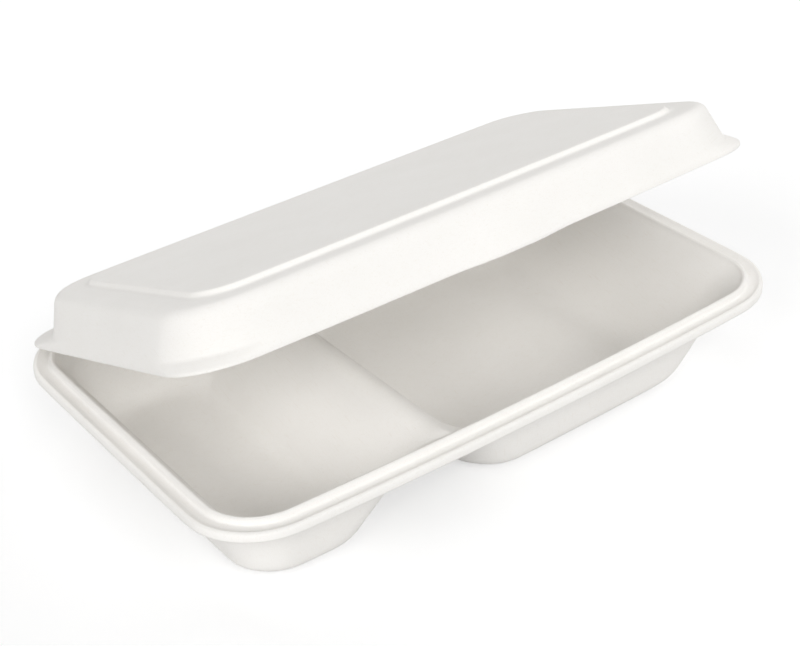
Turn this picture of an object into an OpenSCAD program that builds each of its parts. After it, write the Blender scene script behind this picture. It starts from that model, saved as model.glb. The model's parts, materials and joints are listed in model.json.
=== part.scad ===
// Two-compartment meal box pressed from bagasse fibre: a tray and a lid of one sheet, joined by a fold.
// Millimetres, +Z up. The tray stands on z = 0, centred in plan; the fold runs along X at the back (+Y).

/* [Tray rim] */
// Length of the tray over its rim
box_l = 240; // [200:1:280]
// Depth of the tray over its rim, front lip to fold
rim_d = 153.5; // [130:0.5:180]
// Height of the rim's outer edge over the table
rim_h = 33; // [26:0.5:45]
// Plan radius of the rim corners
corner_r = 26; // [22:0.5:32]
// How far the middle of the front side bows out past its ends
front_bow = 3.6; // [0:0.1:6]
// Height of the lip turned down round the rim
lip_h = 3.2; // [2:0.1:5]
// Width of the rim from its outer edge to the bead
flange_w = 5.6; // [5.2:0.1:8]
// Depth of the groove in the rim
groove_drop = 0.8; // [0:0.1:1.2]
// Width of the raised bead inside the groove
bead_w = 3; // [2.8:0.1:4]
// Height of the raised bead
bead_h = 1.3; // [0.8:0.1:1.6]

/* [Sheet] */
// Thickness of the pressed fibre sheet
sheet = 1; // [0.8:0.05:1.1]
// Radius of the rim's turned-over edge
edge_r = 1.4; // [1.3:0.1:1.7]

/* [Compartments] */
// Place of the divider crest along the length
divider_x = -32; // [-45:1:0]
// How far the divider crest lies below the rim
divider_drop = 3; // [1:0.5:8]
// Radius over the divider crest
crest_r = 8; // [5:0.5:12]
// Slope of the divider towards the small compartment, degrees from level
small_slope = 52; // [45:1:70]
// Slope of the divider towards the large compartment, degrees from level
large_slope = 66; // [50:1:75]
// Slope of the outer walls, degrees from level
wall_slope = 82; // [70:1:86]
// How much further in the right-hand wall's foot lies than the other walls'
end_lean = 21; // [0:0.5:26]
// Radius of the shoulder between bead and wall
shoulder_r = 13; // [6:0.5:16]
// Slope at which the shoulder leaves the bead, degrees from level
shoulder_slope = 40; // [30:1:55]
// Radius between wall and floor
floor_r = 7; // [4:0.5:9]
// Plan radius of the compartment corners at the floor
pocket_r = 15; // [10:0.5:18]

/* [Lid] */
// Room between the closed lid's edge and the tray's bead
lid_room = 0.6; // [0.4:0.1:1.5]
// Height of the lid's upright edge
lid_edge_h = 0.9; // [0.6:0.1:2]
// Width of the skirt between the lid's edge and its walls
skirt_w = 1.2; // [0.8:0.1:4]
// Height by which the skirt rises to the walls, over the tray's bead
skirt_h = 2.4; // [2.2:0.1:4]
// Extra width of the skirt along the fold
back_extra = 10; // [4:0.5:16]
// Height of the lid's ledge over its edge
lid_h = 17.5; // [14:0.5:30]
// Slope of the lid's walls, degrees from level
lid_slope = 68; // [60:1:82]
// Radius along the top of the lid's walls
lid_top_r = 6; // [4:0.5:10]
// Plan radius of the lid's walls at their foot
lid_foot_r = 30; // [22:0.5:36]
// Plan radius of the lid's walls at their top
lid_corner_r = 12; // [8:0.5:26]
// Width of the ledge round the raised panel
ledge_w = 7; // [1:0.1:9]
// Height of the raised panel over the ledge
panel_h = 1.6; // [0.5:0.1:2.4]
// Width of the bevel up to the raised panel
panel_bevel = 1.5; // [0.8:0.1:3]
// Width of the closing tab in the middle of the front
tab_w = 28; // [20:1:40]
// How far the closing tab stands out
tab_reach = 2.6; // [1:0.1:3]
// How far the wall behind the tab stands out
boss_reach = 2.2; // [1:0.1:3]
// Opening angle of the lid as it stands
open_deg = 21; // [0:0.1:180]
// Room between tray and lid at the fold
fold_gap = 0.15; // [0.1:0.05:0.3]

/* [Hidden] */
fibre = "#efebe6";
half_l = box_l / 2;
half_d = rim_d / 2;
mouth_d = flange_w + bead_w;
// The closed lid's edge stands over the groove, just outside the bead
lid_inset = flange_w - sheet - lid_room;
crest_z = rim_h - divider_drop;
// Places on the rounding grid in a millimetre
per_mm = 10000;
// Steps round a corner, even so that a square corner has a middle point
corner_steps = 8;
// Points between corners: along the long sides, across the divider, at the ends
side_steps = 4;
divider_steps = 5;
end_steps = 3;
// Rings over a crest or shoulder, and rings in a fillet
crest_rings = 3;
fillet_rings = 4;
last_ring = crest_rings + fillet_rings + 1;
// Width of the slope from the turned edge down to the groove
groove_run = 1.6;
// Turns of the points round a turned-over edge, upright to level
edge_turns = [0, 45, 90];
// Upper points of the bead: share of its width, share of its height
bead_points = [[0.2, 0.7], [0.5, 1], [0.78, 0.75]];
// Corner directions, front right first and anticlockwise
corner_turns = [-90, 0, 90, 180];
// Middle point of the skirt: share of its width, share of its height
skirt_crown = [0.5, 0.6];
// Rings up the straight part of the lid's walls
wall_rings = 3;
// Share of the tab's width over which it rises from the edge
tab_ramp = 0.14;

// Plain helpers
function mix(a, b, w) = a + (b - a) * w;
function ease(t) = let (u = max(0, min(1, t))) u * u * (3 - 2 * u);
function unit(v) = v / norm(v);
function slice(list, from, to) = [for (i = [from : 1 : to]) list[i]];

// Moves an open outline sideways by the sheet's thickness, to the right of its direction; it ends level
level_normal = [0, -1];
function side_normal(a, b) = let (u = unit(b - a)) [u[1], -u[0]];
function shifted(line, by) = [
    for (i = [0 : len(line) - 1])
        let (
            before = i > 0 ? side_normal(line[i - 1], line[i]) : side_normal(line[0], line[1]),
            after = i < len(line) - 1 ? side_normal(line[i], line[i + 1]) : level_normal,
            middle = unit(before + after)
        )
        line[i] + middle * by / (middle * after)
];

// Points of one corner, round or square, and the straight run to the next
function round_corner(c, r, turn) = [
    for (i = [0 : corner_steps])
        let (a = turn + 90 * i / corner_steps)
        c + r * [cos(a), sin(a)]
];
function square_corner(c, r, turn) = let (u = [cos(turn), sin(turn)], v = [-sin(turn), cos(turn)]) [
    for (i = [0 : corner_steps])
        let (t = 2 * i / corner_steps)
        c + r * (t <= 1 ? u + t * v : (2 - t) * u + v)
];
function corner(c, r, turn, roundness) =
    roundness * round_corner(c, r, turn) + (1 - roundness) * square_corner(c, r, turn);
function run(a, b, steps) = [for (i = [1 : 1 : steps]) mix(a, b, i / (steps + 1))];

// Rounded rectangle, anticlockwise from its front right corner; steps[i] points follow corner i
function ring(x0, x1, y0, y1, radii, roundness, steps) =
    let (
        centres = [
            [x1 - radii[0], y0 + radii[0]],
            [x1 - radii[1], y1 - radii[1]],
            [x0 + radii[2], y1 - radii[2]],
            [x0 + radii[3], y0 + radii[3]]
        ],
        corners = [for (i = [0 : 3]) corner(centres[i], radii[i], corner_turns[i], roundness[i])]
    )
    [
        for (i = [0 : 3])
            each concat(corners[i], run(corners[i][corner_steps], corners[(i + 1) % 4][0], steps[i]))
    ];

// The front bows: points in front of the middle move back towards the ends
function bow_scale(p) = p[1] < 0 ? 1 - front_bow / half_d * pow(p[0] / half_l, 2) : 1;
// Places are rounded to a fine grid, so that neighbouring faces share their points exactly
function snapped(v) = round(v * per_mm) / per_mm;
function bowed(p) = [snapped(p[0]), snapped(p[1] * bow_scale(p)), snapped(p[2])];

// Faces between two rings that start at points a and b, and a flat cap on one ring
function band(a, b, count, up) = [
    for (i = [0 : count - 1])
        let (j = (i + 1) % count)
        each up
            ? [[a + i, b + i, b + j], [a + i, b + j, a + j]]
            : [[a + i, b + j, b + i], [a + i, a + j, b + j]]
];
function cap(a, count, up) = [[for (i = [0 : count - 1]) a + (up ? count - 1 - i : i)]];

// Section of a wall: a crest that turns from slope_0 to slope_1, a straight run, and a fillet to the floor
function wall_section(top_z, r, slope_0, slope_1, floor_z) =
    let (
        crest = [
            for (i = [0 : crest_rings])
                let (a = mix(slope_0, slope_1, i / crest_rings))
                [r * (sin(a) - sin(slope_0)), top_z - r * (cos(slope_0) - cos(a))]
        ],
        foot_z = floor_z + floor_r * (1 - cos(slope_1)),
        foot_s = crest[crest_rings][0] + (crest[crest_rings][1] - foot_z) / tan(slope_1),
        fillet = [
            for (i = [0 : fillet_rings])
                let (a = slope_1 * (1 - i / fillet_rings))
                [foot_s + floor_r * (sin(slope_1) - sin(a)), floor_z + floor_r * (1 - cos(a))]
        ]
    )
    concat(crest, fillet);

// Points of an edge that turns over to level at height top
function turned_edge(top) = [for (a = edge_turns) edge_r * [1 - cos(a), sin(a) - 1] + [0, top]];

// Tray
rim_section = concat(
    [[0, rim_h - lip_h]],
    turned_edge(rim_h),
    [[edge_r + groove_run, rim_h - groove_drop], [flange_w, rim_h - groove_drop]],
    [for (p = bead_points) [flange_w + bead_w * p[0], rim_h + bead_h * p[1]]],
    [[mouth_d, rim_h]]
);
last_rim = len(rim_section) - 1;
outer_wall = wall_section(rim_h, shoulder_r, shoulder_slope, wall_slope, sheet);
outer_line = concat(rim_section, [for (i = [1 : last_ring]) outer_wall[i] + [mouth_d, 0]]);
small_wall = wall_section(crest_z, crest_r, 0, small_slope, sheet);
large_wall = wall_section(crest_z, crest_r, 0, large_slope, sheet);
// The floor corners leave a straight run between them in the small compartment
least_run = 1.5;
small_floor_l = half_l + divider_x - outer_line[last_rim + last_ring][0] - small_wall[last_ring][0];
floor_corner_r = min(pocket_r, (small_floor_l - least_run) / 2 - sheet);

// Steps after each corner of a compartment: end, back, divider and front run anticlockwise
small_steps = [divider_steps, side_steps, end_steps, side_steps];
large_steps = [end_steps, side_steps, divider_steps, side_steps];
small_count = 4 * (corner_steps + 1) + small_steps[0] + small_steps[1] + small_steps[2] + small_steps[3];
large_count = 4 * (corner_steps + 1) + large_steps[0] + large_steps[1] + large_steps[2] + large_steps[3];
half_corner = corner_steps / 2;
// Where the divider meets the rim: front and back places in each compartment's ring
small_front = half_corner;
small_back = corner_steps + 1 + small_steps[0] + half_corner;
large_back = 2 * (corner_steps + 1) + large_steps[0] + large_steps[1] + half_corner;
large_front = 3 * (corner_steps + 1) + large_steps[0] + large_steps[1] + large_steps[2] + half_corner;

// Plan rings of the two compartments, inset by outer at the rim's sides and by inner at the divider
function small_ring(outer, inner, r, r_div, roundness) = ring(
    outer - half_l, divider_x - inner, outer - half_d, half_d - outer,
    [r_div, r_div, r, r], [roundness, roundness, 1, 1], small_steps
);
function large_ring(outer, inner, lean, r, r_div, roundness) = ring(
    divider_x + inner, half_l - outer - lean, outer - half_d, half_d - outer,
    [r, r, r_div, r_div], [1, 1, roundness, roundness], large_steps
);
// The right-hand wall leans in evenly from the rim to the floor
function lean_at(drop) = end_lean * drop / (rim_h - sheet);
// One ring round the whole rim: the large compartment's outer side, then the small one's
function rim_ring(outer, r_div) =
    let (
        large = large_ring(outer, 0, 0, corner_r - outer, r_div, 0),
        small = small_ring(outer, 0, corner_r - outer, r_div, 0)
    )
    concat(
        slice(large, large_front, large_count - 1),
        slice(large, 0, large_back - 1),
        slice(small, small_back, small_count - 1),
        slice(small, 0, small_front - 1)
    );
rim_count = (large_count - large_front) + large_back + (small_count - small_back) + small_front;

// How far a point of a compartment's ring belongs to the divider, 0 at the rim and 1 along the crest
function divider_share(i, front, back) =
    let (inside = front < back ? min(i - front, back - i) : min(i - back, front - i))
    ease(inside / half_corner);

// Points of one side of the tray's sheet, from the lip's edge to the floors
function tray_side(outer, small, large, extra_r) =
    let (
        rim = [
            for (k = [0 : last_rim])
                each [for (p = rim_ring(outer[k][0], floor_corner_r + extra_r)) [p[0], p[1], outer[k][1]]]
        ],
        pockets = [
            for (side = [0, 1])
                each [
                    for (k = [0 : last_ring])
                        let (
                            a = outer[last_rim + k],
                            b = side == 0 ? small[k] : large[k],
                            r_div = floor_corner_r + extra_r,
                            r = mix(corner_r - outer[last_rim][0], r_div, k / last_ring),
                            turn = min(1, k / crest_rings),
                            plan = side == 0
                                ? small_ring(a[0], b[0], r, r_div, turn)
                                : large_ring(a[0], b[0], lean_at(outer[last_rim][1] - a[1]), r, r_div, turn),
                            front = side == 0 ? small_front : large_front,
                            back = side == 0 ? small_back : large_back
                        )
                        each [
                            for (i = [0 : len(plan) - 1])
                                [plan[i][0], plan[i][1], mix(a[1], b[1], divider_share(i, front, back))]
                        ]
                ]
        ]
    )
    [for (p = concat(rim, pockets)) bowed(p)];

// Faces of one side of the sheet, whose points start at first
function tray_faces(first, up) =
    let (
        small_first = first + (last_rim + 1) * rim_count,
        large_first = small_first + (last_ring + 1) * small_count
    )
    concat(
        [for (k = [0 : last_rim - 1])
            each band(first + k * rim_count, first + (k + 1) * rim_count, rim_count, up)],
        [for (k = [0 : last_ring - 1])
            each band(small_first + k * small_count, small_first + (k + 1) * small_count, small_count, up)],
        [for (k = [0 : last_ring - 1])
            each band(large_first + k * large_count, large_first + (k + 1) * large_count, large_count, up)],
        cap(small_first + last_ring * small_count, small_count, up),
        cap(large_first + last_ring * large_count, large_count, up)
    );

// The underside of the divider meets in one line below the crest
function under_divider(wall) = concat([[0, crest_z - sheet]], slice(shifted(wall, sheet), 1, last_ring));

module tray() {
    upper = tray_side(outer_line, small_wall, large_wall, 0);
    under_line = shifted(outer_line, sheet);
    // The lip ends in a flat edge
    under_outer = concat([[sheet, rim_h - lip_h]], slice(under_line, 1, len(under_line) - 1));
    lower = tray_side(under_outer, under_divider(small_wall), under_divider(large_wall), sheet);
    count = len(upper);
    color(fibre)
        polyhedron(
            concat(upper, lower),
            concat(tray_faces(0, true), tray_faces(count, false), band(0, count, rim_count, false)),
            convexity = 6
        );
}

// Lid, in its closed place over the tray with its edge's foot at height 0
wall_foot = [skirt_w, lid_edge_h + skirt_h];
lid_turn_h = lid_h - lid_top_r * (1 - cos(lid_slope));
lid_turn_s = wall_foot[0] + (lid_turn_h - wall_foot[1]) / tan(lid_slope);
lid_wall = concat(
    [[skirt_w * skirt_crown[0], lid_edge_h + skirt_h * skirt_crown[1]]],
    [for (i = [0 : wall_rings - 1]) mix(wall_foot, [lid_turn_s, lid_turn_h], i / wall_rings)]
);
lid_top = [
    for (i = [0 : fillet_rings])
        let (a = lid_slope * (1 - i / fillet_rings))
        [lid_turn_s + lid_top_r * (sin(lid_slope) - sin(a)), lid_h - lid_top_r * (1 - cos(a))]
];
ledge_s = lid_top[fillet_rings][0] + ledge_w;
lid_line = concat(
    [[0, 0], [0, lid_edge_h]],
    lid_wall,
    lid_top,
    [[ledge_s, lid_h], [ledge_s + panel_bevel, lid_h + panel_h]]
);
last_lid = len(lid_line) - 1;
edge_rings = 2;
// The walls' foot is the ring after the edge and the skirt's crown
foot_ring = edge_rings + 1;
// Points along the front follow the tab, so the front has more of them
lid_front_steps = 17;
lid_back_steps = 7;
lid_steps = [end_steps, lid_back_steps, end_steps, lid_front_steps];
lid_count = 4 * (corner_steps + 1) + lid_steps[0] + lid_steps[1] + lid_steps[2] + lid_steps[3];

// How far the tab, and the boss that fades up the wall behind it, stand out at a place along the front
function rise(x, width) = ease((width / 2 - abs(x)) / (width * tab_ramp));
function boss_share(k) = max(0, min(1, (foot_ring + wall_rings - k) / wall_rings));
function tab_out(p, k) =
    p[1] > 0 ? 0
    : rise(p[0], tab_w) * (k < edge_rings ? tab_reach : boss_reach * boss_share(k));

// Plan radius of ring k: the outline's own at the edge, half way at the crown, then the walls' to the top
function lid_r(d, k) =
    k < edge_rings ? corner_r - lid_inset - d
    : k < foot_ring ? (corner_r - lid_inset + lid_foot_r) / 2
    : mix(lid_foot_r, lid_corner_r, (k - foot_ring) / (last_lid - foot_ring));

function lid_side(line, extra_r) = [
    for (k = [0 : last_lid])
        let (
            d = line[k][0],
            back = k < edge_rings ? 0 : back_extra * min(1, lid_line[k][0] / skirt_w),
            r = lid_r(d, k) + (k < edge_rings ? 0 : extra_r)
        )
        each [
            for (p = ring(
                d + lid_inset - half_l, half_l - lid_inset - d,
                d + lid_inset - half_d, half_d - d - back,
                [r, r, r, r], [1, 1, 1, 1], lid_steps
            ))
                bowed([p[0], p[1] - tab_out(p, k), line[k][1]])
        ]
];
function lid_faces(first, up) = concat(
    [for (k = [0 : last_lid - 1])
        each band(first + k * lid_count, first + (k + 1) * lid_count, lid_count, up)],
    cap(first + last_lid * lid_count, lid_count, up)
);

module lid() {
    upper = lid_side(lid_line, 0);
    under_line = shifted(lid_line, sheet);
    under = concat([[sheet, 0]], slice(under_line, 1, last_lid));
    lower = lid_side(under, -sheet);
    count = len(upper);
    color(fibre)
        translate([0, half_d + fold_gap, rim_h + fold_gap])
            rotate([-open_deg, 0, 0])
                translate([0, -half_d - fold_gap, fold_gap])
                    polyhedron(
                        concat(upper, lower),
                        concat(lid_faces(0, true), lid_faces(count, false), band(0, count, lid_count, false)),
                        convexity = 6
                    );
}

tray();
lid();
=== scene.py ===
# %% [markdown]
# # A hinged meal box of pressed bagasse
# Bagasse is what is left of sugar cane after the juice is gone. Its wet pulp is pressed between two
# hot moulds to one thin sheet with hollows, and a crease along the back makes a tray and a lid of
# it. The frame holds the exact sizes of both shells, so every piece below takes its place from it.

# %% Load the frame
import json
import math

import bmesh
import bpy
from mathutils import Matrix, Vector


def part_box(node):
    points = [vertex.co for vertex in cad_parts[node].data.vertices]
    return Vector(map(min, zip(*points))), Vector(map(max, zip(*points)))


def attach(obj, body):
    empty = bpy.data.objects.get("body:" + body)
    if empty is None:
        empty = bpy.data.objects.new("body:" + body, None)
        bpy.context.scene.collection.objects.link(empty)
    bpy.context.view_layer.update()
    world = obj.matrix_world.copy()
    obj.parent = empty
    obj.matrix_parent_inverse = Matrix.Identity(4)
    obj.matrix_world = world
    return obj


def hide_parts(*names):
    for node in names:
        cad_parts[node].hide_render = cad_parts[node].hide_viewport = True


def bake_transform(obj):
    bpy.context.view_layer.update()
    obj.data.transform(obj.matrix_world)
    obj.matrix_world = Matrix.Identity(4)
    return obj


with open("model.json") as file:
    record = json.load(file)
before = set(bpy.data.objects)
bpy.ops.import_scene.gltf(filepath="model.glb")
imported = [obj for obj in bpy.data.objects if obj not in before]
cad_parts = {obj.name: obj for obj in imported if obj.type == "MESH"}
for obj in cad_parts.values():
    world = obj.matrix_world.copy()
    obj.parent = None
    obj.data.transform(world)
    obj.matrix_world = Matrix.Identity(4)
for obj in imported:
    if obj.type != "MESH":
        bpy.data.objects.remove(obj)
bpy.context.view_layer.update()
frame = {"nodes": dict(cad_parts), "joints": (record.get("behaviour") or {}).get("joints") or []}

MM = 0.001

# %% [markdown]
# The fold is the only joint. At rest the lid stands partly open, and the lower end of the joint's
# range is the closed box, so that end also says how far the lid is turned now. The lid's own
# directions follow from it.

# %% Read the fold
fold = frame["joints"][0]
fold_point = Vector(fold["pos_m"])
opening = math.radians(-fold["range_deg"][0])
lid_turn = Matrix.Rotation(-opening, 3, "X")
lid_up = lid_turn @ Vector((0, 0, 1))
print(f"the lid stands {math.degrees(opening):.1f} degrees open about {fold['name']}")

# %% [markdown]
# Each finish is a small tree of shader nodes. Colours are written as they look on a screen and
# turned to the linear values that light works with, and one helper adds a node, sets it and links
# it.

# %% Colour and node helpers
def linear(hex_colour):
    """Linear RGBA of an sRGB colour such as #f6f4f0."""
    parts = [int(hex_colour[i : i + 2], 16) / 255 for i in (1, 3, 5)]
    return [p / 12.92 if p <= 0.04045 else ((p + 0.055) / 1.055) ** 2.4 for p in parts] + [1]


def add_node(tree, kind, inputs=None, **settings):
    """Add one node; an input is another node's output, which is linked, or a plain value."""
    node = tree.nodes.new(kind)
    for name, value in settings.items():
        setattr(node, name, value)
    for socket, value in (inputs or {}).items():
        if isinstance(value, bpy.types.NodeSocket):
            tree.links.new(value, node.inputs[socket])
        else:
            node.inputs[socket].default_value = value
    return node


# A Mix node that is set to colours has them at these sockets
MIX_A, MIX_B, MIX_RESULT = 6, 7, 2
print("warm white in linear values:", [round(c, 3) for c in linear("#f6f4f0")])

# %% [markdown]
# Pressed bagasse is bleached plant fibre with no coating. It is a warm white, quite matt, and never
# quite even: the pulp settles in faint clouds a few centimetres wide, single fibres lie in the
# surface in every direction, and the mould leaves a fine grain. Image textures could show that, but
# noise worked out in the piece's own space needs no unwrapping and runs over edges without a seam.

# %% The fibres
FIBRE_LENGTH = 7 * MM
# Real strands are about a tenth of a millimetre wide; these are wider so that the render can show them
FIBRE_WIDTH = 0.35 * MM
# Each turn lays one set of fibres in a direction of its own
FIBRE_TURNS = [(0, 6, 25), (0, -8, 85), (0, 5, 150), (0, 70, 40)]
# The part of the noise's range that counts as fibre, from its faint side to its clear middle
FIBRE_CREST = (0.62, 0.78)
FIBRE_WAVE = 0.6


def fibre_strands(tree, place):
    """Noise stretched one way makes short strands; the crests of all sets are laid together."""
    strands = 0.0
    for turn in FIBRE_TURNS:
        stretched = add_node(
            tree,
            "ShaderNodeMapping",
            {
                "Vector": place,
                "Rotation": [math.radians(t) for t in turn],
                "Scale": (FIBRE_LENGTH, FIBRE_WIDTH, FIBRE_WIDTH),
            },
            # A mapping of this kind turns first and then divides by the scale
            vector_type="TEXTURE",
        )
        noise = add_node(
            tree,
            "ShaderNodeTexNoise",
            {"Vector": stretched.outputs["Vector"], "Scale": 1, "Detail": 1, "Distortion": FIBRE_WAVE},
        )
        crest = add_node(
            tree,
            "ShaderNodeMapRange",
            {"Value": noise.outputs["Fac"], "From Min": FIBRE_CREST[0], "From Max": FIBRE_CREST[1]},
        )
        laid = add_node(
            tree,
            "ShaderNodeMath",
            {0: strands, 1: crest.outputs["Result"]},
            operation="MAXIMUM",
        )
        strands = laid.outputs["Value"]
    return strands


print(f"{len(FIBRE_TURNS)} sets of fibres, {FIBRE_LENGTH / MM:.0f} mm long")

# %% [markdown]
# The finish puts three things together. Clouds of pulp shift the colour a little, fibres add thin
# straw-coloured marks, and grain and fibres together raise the surface by hundredths of a
# millimetre. There is no gloss to speak of, so roughness stays high and only wanders with the
# grain.

# %% Pressed bagasse
PULP = ("#f6f4f0", "#fcfaf7")
STRAW = "#e4dccf"
CLOUD = 24 * MM
GRAIN = 1.5 * MM
RELIEF = 0.08 * MM
RELIEF_SHOWN = 0.4
# How much of a fibre's colour shows, and its height beside that of the grain
FIBRE_TINT = 0.22
FIBRE_HEIGHT = 0.5
ROUGHNESS = (0.70, 0.86)
# Dry cellulose
CELLULOSE_IOR = 1.47


def pressed_bagasse():
    material = bpy.data.materials.new("pressed_bagasse")
    material.use_nodes = True
    tree = material.node_tree
    shader = tree.nodes["Principled BSDF"]
    place = add_node(tree, "ShaderNodeTexCoord").outputs["Object"]
    cloud = add_node(tree, "ShaderNodeTexNoise", {"Vector": place, "Scale": 1 / CLOUD, "Detail": 3})
    grain = add_node(tree, "ShaderNodeTexNoise", {"Vector": place, "Scale": 1 / GRAIN, "Detail": 4})
    strands = fibre_strands(tree, place)

    pulp = add_node(
        tree,
        "ShaderNodeMix",
        {"Factor": cloud.outputs["Fac"], MIX_A: linear(PULP[0]), MIX_B: linear(PULP[1])},
        data_type="RGBA",
    )
    fibre_share = add_node(tree, "ShaderNodeMath", {0: strands, 1: FIBRE_TINT}, operation="MULTIPLY")
    colour = add_node(
        tree,
        "ShaderNodeMix",
        {
            "Factor": fibre_share.outputs["Value"],
            MIX_A: pulp.outputs[MIX_RESULT],
            MIX_B: linear(STRAW),
        },
        data_type="RGBA",
    )
    height = add_node(
        tree,
        "ShaderNodeMath",
        {0: strands, 1: FIBRE_HEIGHT, 2: grain.outputs["Fac"]},
        operation="MULTIPLY_ADD",
    )
    relief = add_node(
        tree,
        "ShaderNodeBump",
        {"Strength": RELIEF_SHOWN, "Distance": RELIEF, "Height": height.outputs["Value"]},
    )
    roughness = add_node(
        tree,
        "ShaderNodeMapRange",
        {"Value": grain.outputs["Fac"], "To Min": ROUGHNESS[0], "To Max": ROUGHNESS[1]},
    )
    tree.links.new(colour.outputs[MIX_RESULT], shader.inputs["Base Color"])
    tree.links.new(roughness.outputs["Result"], shader.inputs["Roughness"])
    tree.links.new(relief.outputs["Normal"], shader.inputs["Normal"])
    shader.inputs["IOR"].default_value = CELLULOSE_IOR
    return material


bagasse = pressed_bagasse()
print(bagasse.name, "has", len(bagasse.node_tree.nodes), "nodes")

# %% [markdown]
# The frame's shells have the right form, but they are flat triangles, and pressed pulp has no flat
# facets. Modelling the shells a second time would risk another shape. So a copy is welded, its
# triangles are joined to the four-sided faces that they came from, and each large flat becomes one
# face with two loops inside its edge, which keep the rounding at the edge even. Sharp bends, such as
# the bevel of the lid's panel, are partly creased, so that they stay crisper than the rest.

# %% From triangles to a clean cage
SHEET = 1 * MM
WELD = 0.005 * MM
FLAT_LOOPS = (2 * MM, 6 * MM)
# How nearly a face must point the flat's way, and how far below its outer side it may lie
FLAT_COSINE = 0.9999
FLAT_DEPTH = 1.05 * SHEET
# Triangles are joined where they lie this flat and make a face this near to a rectangle
JOIN_BEND = math.radians(60)
JOIN_SKEW = math.radians(80)
# Edges that bend by more than this angle keep part of their sharpness
SHARP_BEND = math.radians(28)
KEPT_SHARPNESS = 0.5


def large_flats(bm, outwards):
    """Faces of the flat that lies furthest along a direction, on both sides of the sheet."""
    furthest = max(v.co.dot(outwards) for v in bm.verts)
    return [
        face
        for face in bm.faces
        if abs(face.normal.dot(outwards)) > FLAT_COSINE
        and furthest - face.calc_center_median().dot(outwards) < FLAT_DEPTH
    ]


def shell_cage(node, outwards):
    """A welded, four-sided copy of a shell of the frame."""
    bm = bmesh.new()
    bm.from_mesh(frame["nodes"][node].data)
    bmesh.ops.remove_doubles(bm, verts=bm.verts, dist=WELD)
    flats = bmesh.ops.dissolve_faces(bm, faces=large_flats(bm, outwards))["region"]
    bmesh.ops.join_triangles(
        bm,
        faces=[face for face in bm.faces if len(face.verts) == 3],
        angle_face_threshold=JOIN_BEND,
        angle_shape_threshold=JOIN_SKEW,
        topology_influence=1,
    )
    for width in FLAT_LOOPS:
        bmesh.ops.inset_region(bm, faces=flats, thickness=width, use_even_offset=True)
    sharpness = bm.edges.layers.float.new("crease_edge")
    for edge in bm.edges:
        if len(edge.link_faces) == 2 and edge.calc_face_angle() > SHARP_BEND:
            edge[sharpness] = KEPT_SHARPNESS
    for face in bm.faces:
        face.smooth = True
    return bm


tray_cage = shell_cage("tray", Vector((0, 0, -1)))
lid_cage = shell_cage("lid", lid_up)
for name, cage in (("tray", tray_cage), ("lid", lid_cage)):
    odd = sum(len(face.verts) == 3 for face in cage.faces)
    print(f"{name} cage: {len(cage.faces)} faces, {odd} of them triangles")

# %% [markdown]
# A Subdivision Surface turns the cage into the soft form of pressed pulp. Its surface never leaves
# the hull of the cage, so the box keeps its size: rounded edges lose a tenth or two of a
# millimetre, six tenths at most, and the flats stay where they are. The same modifier serves both
# shells.

# %% From cage to smooth shell
ROUNDING = 2


def smooth_shell(cage, name):
    mesh = bpy.data.meshes.new(name)
    cage.to_mesh(mesh)
    cage.free()
    mesh.materials.append(bagasse)
    piece = bpy.data.objects.new(name, mesh)
    bpy.context.scene.collection.objects.link(piece)
    rounding = piece.modifiers.new("rounding", "SUBSURF")
    rounding.levels = rounding.render_levels = ROUNDING
    return piece


tray_shell = smooth_shell(tray_cage, "tray_shell")
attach(tray_shell, "tray")
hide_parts("tray")

lid_shell = smooth_shell(lid_cage, "lid_shell")
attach(lid_shell, "lid")
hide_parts("lid")
print("shells:", tray_shell.name, lid_shell.name)

# %% [markdown]
# On the real box the sheet runs on from the tray to the lid, thinned by the crease. A strip along
# the back shows it: a line of two points, pulled up the tray's lip, over the crease and up the
# lid's thin edge. It is shaped for the lid as it stands at rest, with its lower edge on the tray
# and its upper edge on the lid.

# %% The crease along the back
CREASE_LENGTH = 188 * MM
CREASE_THICKNESS = 0.3 * MM
# The strip lies on the sheet with a hair's breadth between them
HAIR = 0.02 * MM
# Heights over the fold at which the strip starts and ends on the tray's lip and on the lid's edge
ON_LIP = (-2.8 * MM, -1.6 * MM)
ON_EDGE = (0.3 * MM, 1 * MM)

lip_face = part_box("tray")[1].y + HAIR - fold_point.y
crease_profile = [
    *(Vector((0, lip_face, height)) for height in ON_LIP),
    Vector((0, 0, 0)),
    *(lid_turn @ Vector((0, lip_face, height)) for height in ON_EDGE),
]

strip = bmesh.new()
ends = [
    strip.verts.new(fold_point + crease_profile[0] + Vector((side * CREASE_LENGTH / 2, 0, 0)))
    for side in (-1, 1)
]
front_edge = strip.edges.new(ends)
for here, there in zip(crease_profile, crease_profile[1:]):
    pulled = bmesh.ops.extrude_edge_only(strip, edges=[front_edge])["geom"]
    moved = [v for v in pulled if isinstance(v, bmesh.types.BMVert)]
    bmesh.ops.translate(strip, verts=moved, vec=there - here)
    front_edge = next(e for e in pulled if isinstance(e, bmesh.types.BMEdge))
bmesh.ops.recalc_face_normals(strip, faces=strip.faces)
bmesh.ops.solidify(strip, geom=strip.faces[:], thickness=CREASE_THICKNESS)
crease_mesh = bpy.data.meshes.new("fold_crease")
strip.to_mesh(crease_mesh)
strip.free()
crease_mesh.materials.append(bagasse)
fold_crease = bpy.data.objects.new("fold_crease", crease_mesh)
bpy.context.scene.collection.objects.link(fold_crease)
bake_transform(fold_crease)
print(f"crease strip: {len(crease_mesh.polygons)} faces, {CREASE_LENGTH / MM:.0f} mm long")

# %% [markdown]
# The box stands on a plain pale floor. To the camera the floor shows as white, as a sweep of studio
# paper does, and only the shadow close to the box darkens it. For light that bounces it is ordinary
# pale paper.

# %% Floor
FLOOR_SIZE = 4.0
# The share of the floor's white that no shadow takes away
FLOOR_GLOW = 0.47


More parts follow.
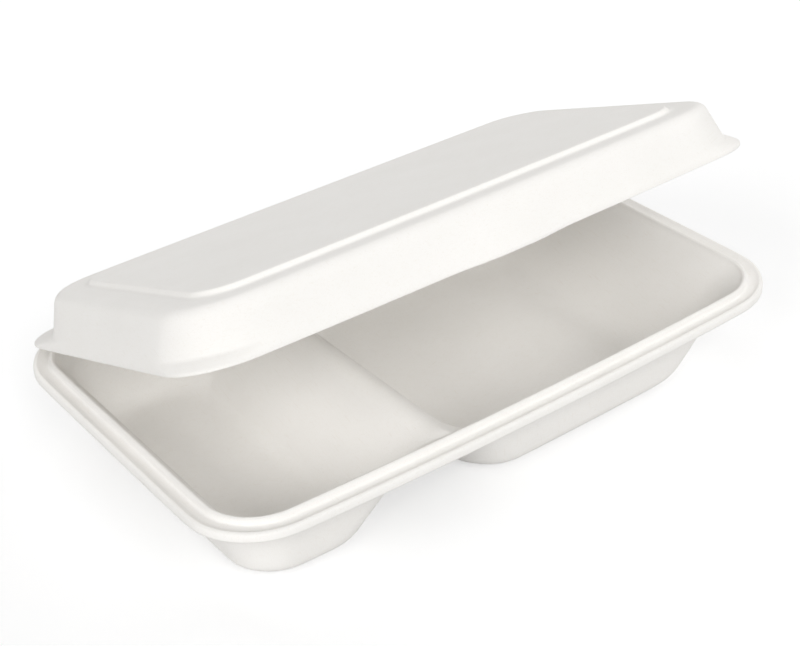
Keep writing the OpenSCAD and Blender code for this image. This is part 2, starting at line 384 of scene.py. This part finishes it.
def is_background_ray(tree):
    """1 for the rays that look at the background, straight or by a reflection or through glass."""
    path = add_node(tree, "ShaderNodeLightPath").outputs
    mirrored = add_node(
        tree,
        "ShaderNodeMath",
        {0: path["Is Camera Ray"], 1: path["Is Glossy Ray"]},
        operation="MAXIMUM",
    )
    seen = add_node(
        tree,
        "ShaderNodeMath",
        {0: mirrored.outputs["Value"], 1: path["Is Transmission Ray"]},
        operation="MAXIMUM",
    )
    return seen.outputs["Value"]


def studio_paper():
    material = bpy.data.materials.new("studio_paper")
    material.use_nodes = True
    tree = material.node_tree
    tree.nodes.remove(tree.nodes["Principled BSDF"])
    paper = add_node(tree, "ShaderNodeBsdfDiffuse", {"Color": linear("#dcdcdc")})
    shaded = add_node(tree, "ShaderNodeBsdfDiffuse", {"Color": linear("#d0d0d0")})
    glow = add_node(tree, "ShaderNodeEmission", {"Color": linear("#ffffff"), "Strength": FLOOR_GLOW})
    white = add_node(
        tree,
        "ShaderNodeAddShader",
        {0: shaded.outputs["BSDF"], 1: glow.outputs["Emission"]},
    )
    shown = add_node(
        tree,
        "ShaderNodeMixShader",
        {"Fac": is_background_ray(tree), 1: paper.outputs["BSDF"], 2: white.outputs["Shader"]},
    )
    tree.links.new(shown.outputs["Shader"], tree.nodes["Material Output"].inputs["Surface"])
    return material


paper_cut = bmesh.new()
bmesh.ops.create_grid(paper_cut, x_segments=1, y_segments=1, size=FLOOR_SIZE / 2)
floor_mesh = bpy.data.meshes.new("floor")
paper_cut.to_mesh(floor_mesh)
paper_cut.free()
floor_mesh.materials.append(studio_paper())
floor = bpy.data.objects.new("floor", floor_mesh)
bpy.context.scene.collection.objects.link(floor)
print(f"floor {FLOOR_SIZE:.0f} m square at the box's foot")

# %% [markdown]
# The light is that of a bright tent. A little comes from all round. Soft lamps in front and at both
# sides are low enough to reach under the open lid, and a weaker one behind keeps the top of the lid
# from going grey.

# %% Light
AMBIENT = 0.10

world = bpy.data.worlds.new("light_tent")
world.use_nodes = True
tent = world.node_tree
ambient = tent.nodes["Background"]
ambient.inputs["Color"].default_value = linear("#ffffff")
ambient.inputs["Strength"].default_value = AMBIENT
white_wall = add_node(tent, "ShaderNodeBackground", {"Color": linear("#ffffff"), "Strength": 1})
tent_shown = add_node(
    tent,
    "ShaderNodeMixShader",
    {
        "Fac": is_background_ray(tent),
        1: ambient.outputs["Background"],
        2: white_wall.outputs["Background"],
    },
)
tent.links.new(tent_shown.outputs["Shader"], tent.nodes["World Output"].inputs["Surface"])
bpy.context.scene.world = world
print(f"ambient level {AMBIENT}")

# %% [markdown]
# Large lamps that stand well away light the whole floor evenly, and a sun with a wide disc does the
# same. Its strength says little by itself, so each lamp is given the level that it adds to a white
# surface facing it.

# %% Lamps
LAMP_WIDTH = math.radians(38)


def soft_lamp(name, towards, level):
    """A lamp of wide angle; towards is the direction from the box to the lamp."""
    lamp = bpy.data.lights.new(name, "SUN")
    lamp.angle = LAMP_WIDTH
    lamp.energy = math.pi * level
    holder = bpy.data.objects.new(name, lamp)
    holder.rotation_euler = Vector(towards).to_track_quat("Z", "Y").to_euler()
    bpy.context.scene.collection.objects.link(holder)
    print(f"{name} adds {level} from", towards)


soft_lamp("front_lamp", (-0.14, -0.82, 0.56), 0.54)
soft_lamp("left_lamp", (-0.85, -0.15, 0.50), 0.40)
soft_lamp("right_lamp", (0.88, 0.00, 0.47), 0.34)
soft_lamp("back_lamp", (0.10, 0.64, 0.76), 0.20)
bpy.context.scene.view_settings.view_transform = "Standard"

# %% [markdown]
# The camera stands in front of the box, to its left and above it, and leans a little. It is placed
# by the angles of its line of sight, the point it looks at and its distance, so each can be changed
# by itself.

# %% Camera
IMAGE_WIDTH = 800
SENSOR_WIDTH = 36
FOCAL_PIXELS = 1691.94
AZIMUTH = math.radians(-34.351)
ELEVATION = math.radians(31.952)
LEAN = math.radians(-3.877)
SIGHT_DISTANCE = 622.88 * MM
LOOKED_AT = (-4.02 * MM, 25.18 * MM)

back = Vector(
    (
        math.sin(AZIMUTH) * math.cos(ELEVATION),
        -math.cos(AZIMUTH) * math.cos(ELEVATION),
        math.sin(ELEVATION),
    )
)
level_right = Vector((math.cos(AZIMUTH), math.sin(AZIMUTH), 0))
level_up = back.cross(level_right)
right = level_right * math.cos(LEAN) + level_up * math.sin(LEAN)
up = back.cross(right)

camera = bpy.data.objects.new("camera", bpy.data.cameras.new("camera"))
camera.data.sensor_width = SENSOR_WIDTH
camera.data.lens = FOCAL_PIXELS * SENSOR_WIDTH / IMAGE_WIDTH
eye = right * LOOKED_AT[0] + up * LOOKED_AT[1] + back * SIGHT_DISTANCE
camera.matrix_world = Matrix.Translation(eye) @ Matrix((right, up, back)).transposed().to_4x4()
bpy.context.scene.collection.objects.link(camera)
bpy.context.scene.camera = camera
print(f"lens {camera.data.lens:.1f} mm, camera at", [round(x / MM) for x in eye])
